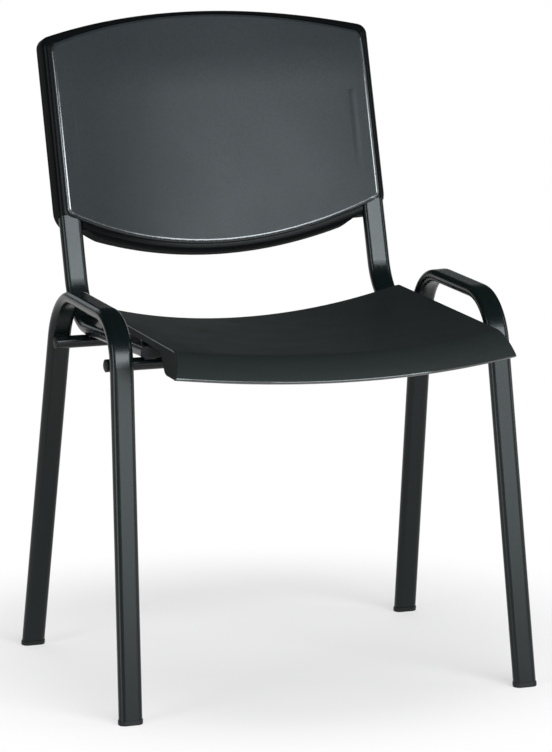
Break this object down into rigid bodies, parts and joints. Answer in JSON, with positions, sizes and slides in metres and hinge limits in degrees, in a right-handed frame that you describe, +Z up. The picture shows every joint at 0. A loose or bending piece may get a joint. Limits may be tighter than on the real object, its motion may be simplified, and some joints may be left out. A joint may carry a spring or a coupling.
{
  "type": "stacking chair",
  "caption": "Stacking visitor chair: welded flat-oval steel tube frame with low side loops, dished plastic seat and hollow curved two-piece plastic backrest.",
  "frame": {"origin": "on the floor under the middle of the chair's bounding box", "axes": "+Z up, the seat's front edge faces -Y, +X to the right as seen from the front"},
  "size_m": [0.5564, 0.6272, 0.8121],
  "materials": {
    "frame_paint": "satin",
    "seat_plastic": "matte",
    "panel_plastic": "satin",
    "cover_plastic": "satin",
    "plug_plastic": "matte",
    "fastener_steel": "zinc plated"
  },
  "bodies": {
    "root": {"backrest_cover": "cover_plastic", "backrest_panel": "panel_plastic", "backrest_screws": "fastener_steel", "cross_tube_cap_front_left": "plug_plastic", "cross_tube_cap_front_right": "plug_plastic", "cross_tube_cap_rear_left": "plug_plastic", "cross_tube_cap_rear_right": "plug_plastic", "foot_plug_front_left": "plug_plastic", "foot_plug_front_right": "plug_plastic", "foot_plug_rear_left": "plug_plastic", "foot_plug_rear_right": "plug_plastic", "front_cross_tube": "frame_paint", "leg_welds": "frame_paint", "rear_cross_tube": "frame_paint", "seat_back_tube_left": "frame_paint", "seat_back_tube_right": "frame_paint", "seat_screws": "fastener_steel", "seat_shell": "seat_plastic", "seat_tube_plug_left": "plug_plastic", "seat_tube_plug_right": "plug_plastic", "seat_tube_welds": "frame_paint", "seat_washers": "fastener_steel", "side_frame_left": "frame_paint", "side_frame_right": "frame_paint"}
  },
  "joints": []
}
